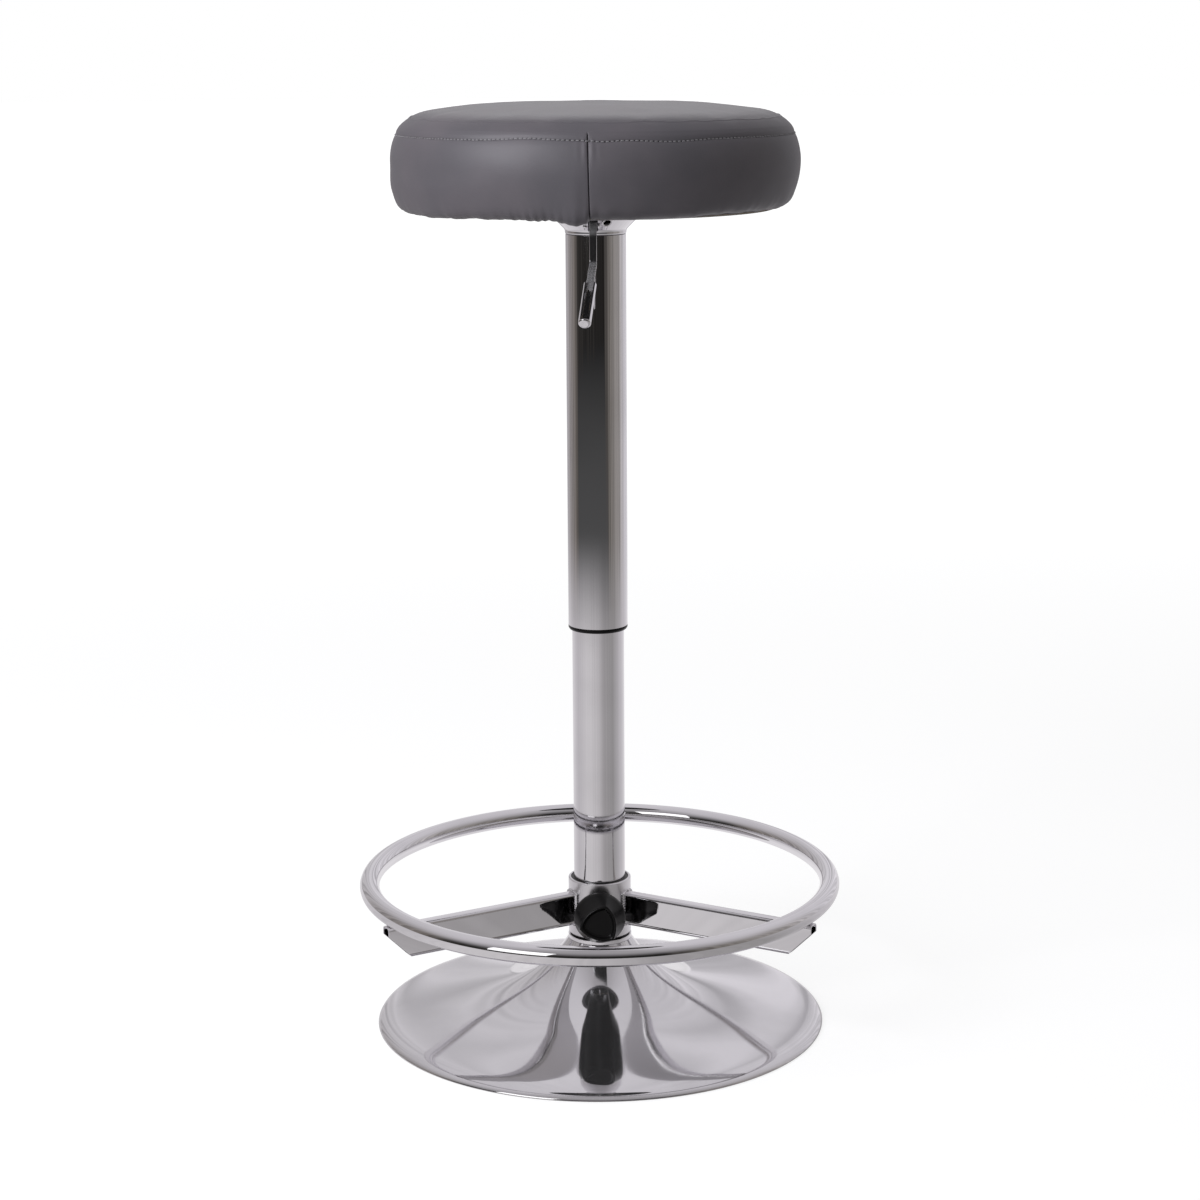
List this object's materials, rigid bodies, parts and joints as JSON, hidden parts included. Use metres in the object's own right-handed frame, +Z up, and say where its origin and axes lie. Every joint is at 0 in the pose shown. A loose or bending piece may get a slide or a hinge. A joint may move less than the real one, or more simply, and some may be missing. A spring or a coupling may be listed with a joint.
{
  "type": "bar stool",
  "caption": "Round padded bar stool on a chrome gas column with a release lever, a clamped foot ring and a trumpet base.",
  "frame": {"origin": "on the floor under the middle of the column", "axes": "+Z up along the column, -Y towards the release lever and the clamp knob, +X to the right seen from there"},
  "size_m": [0.4699, 0.47, 0.895],
  "materials": {
    "chrome": "mirror-bright plating",
    "ballast": "primed casting",
    "black_rubber": "moulded",
    "steel": "zinc-plated",
    "black_plastic": "moulded, satin",
    "black_paint": "gloss paint",
    "plywood": "raw plywood",
    "foam": "open-cell foam",
    "grey_leather": "faux leather with a fine grain",
    "black_cloth": "non-woven cloth"
  },
  "bodies": {
    "base": {"base_shell": "chrome", "base_socket": "chrome", "ballast_plate": "ballast", "floor_ring": "black_rubber", "stand_tube": "chrome", "column_foot": "steel", "guide_bush": "black_plastic", "thrust_washer_lower": "steel", "thrust_balls": "steel"},
    "swivel": {"piston_rod": "chrome", "piston": "steel", "thrust_washer_upper": "steel", "rod_clip": "steel", "rod_bumper": "black_rubber"},
    "seat": {"pressure_tube": "black_paint", "rod_guide": "steel", "lift_hub": "steel", "bell": "chrome", "cover_tube": "chrome", "cover_ring": "black_plastic", "lever_pivot": "steel", "seat_plate": "black_paint", "seat_bolts": "steel", "seat_washers": "steel", "tee_nuts": "steel", "seat_board": "plywood", "seat_foam": "foam", "seat_top_panel": "grey_leather", "seat_side_band": "grey_leather", "dust_cloth": "black_cloth"},
    "release": {"release_pin": "steel"},
    "lever": {"lever_bar": "chrome", "lever_grip": "chrome"},
    "foot_slider": {"foot_liner": "black_plastic"},
    "foot_ring": {"foot_collar": "chrome", "clamp_boss": "chrome", "foot_ring_tube": "chrome", "foot_arm_back": "chrome", "foot_arm_left": "chrome", "foot_arm_right": "chrome"},
    "clamp": {"clamp_stud": "steel", "clamp_knob": "black_plastic"}
  },
  "joints": [
    {"name": "seat_swivel", "type": "hinge", "parent": "base", "child": "swivel", "pos_m": [0, 0, 0.025], "axis": [0, 0, 1], "continuous": true},
    {"name": "seat_height", "type": "slide", "parent": "swivel", "child": "seat", "axis": [0, 0, 1], "range_m": [-0.2, 0]},
    {"name": "lever_lift", "type": "hinge", "parent": "seat", "child": "lever", "pos_m": [0, -0.013, 0.78493], "axis": [-1, 0, 0], "range_deg": [0, 8], "stiffness_Nm_per_rad": 2},
    {"name": "release_push", "type": "slide", "parent": "seat", "child": "release", "axis": [0, 0, -1], "range_m": [0, 0.0024]},
    {"name": "foot_height", "type": "slide", "parent": "base", "child": "foot_slider", "axis": [0, 0, 1], "range_m": [0, 0.04]},
    {"name": "foot_turn", "type": "hinge", "parent": "foot_slider", "child": "foot_ring", "pos_m": [0, 0, 0.1168], "axis": [0, 0, 1], "continuous": true},
    {"name": "clamp_turn", "type": "hinge", "parent": "foot_ring", "child": "clamp", "pos_m": [0, -0.04, 0.1168], "axis": [0, -1, 0], "range_deg": [0, 180]}
  ],
  "couplings": [
    {"joint": "release_push", "follows": "lever_lift", "m_per_rad": 0.015}
  ]
}
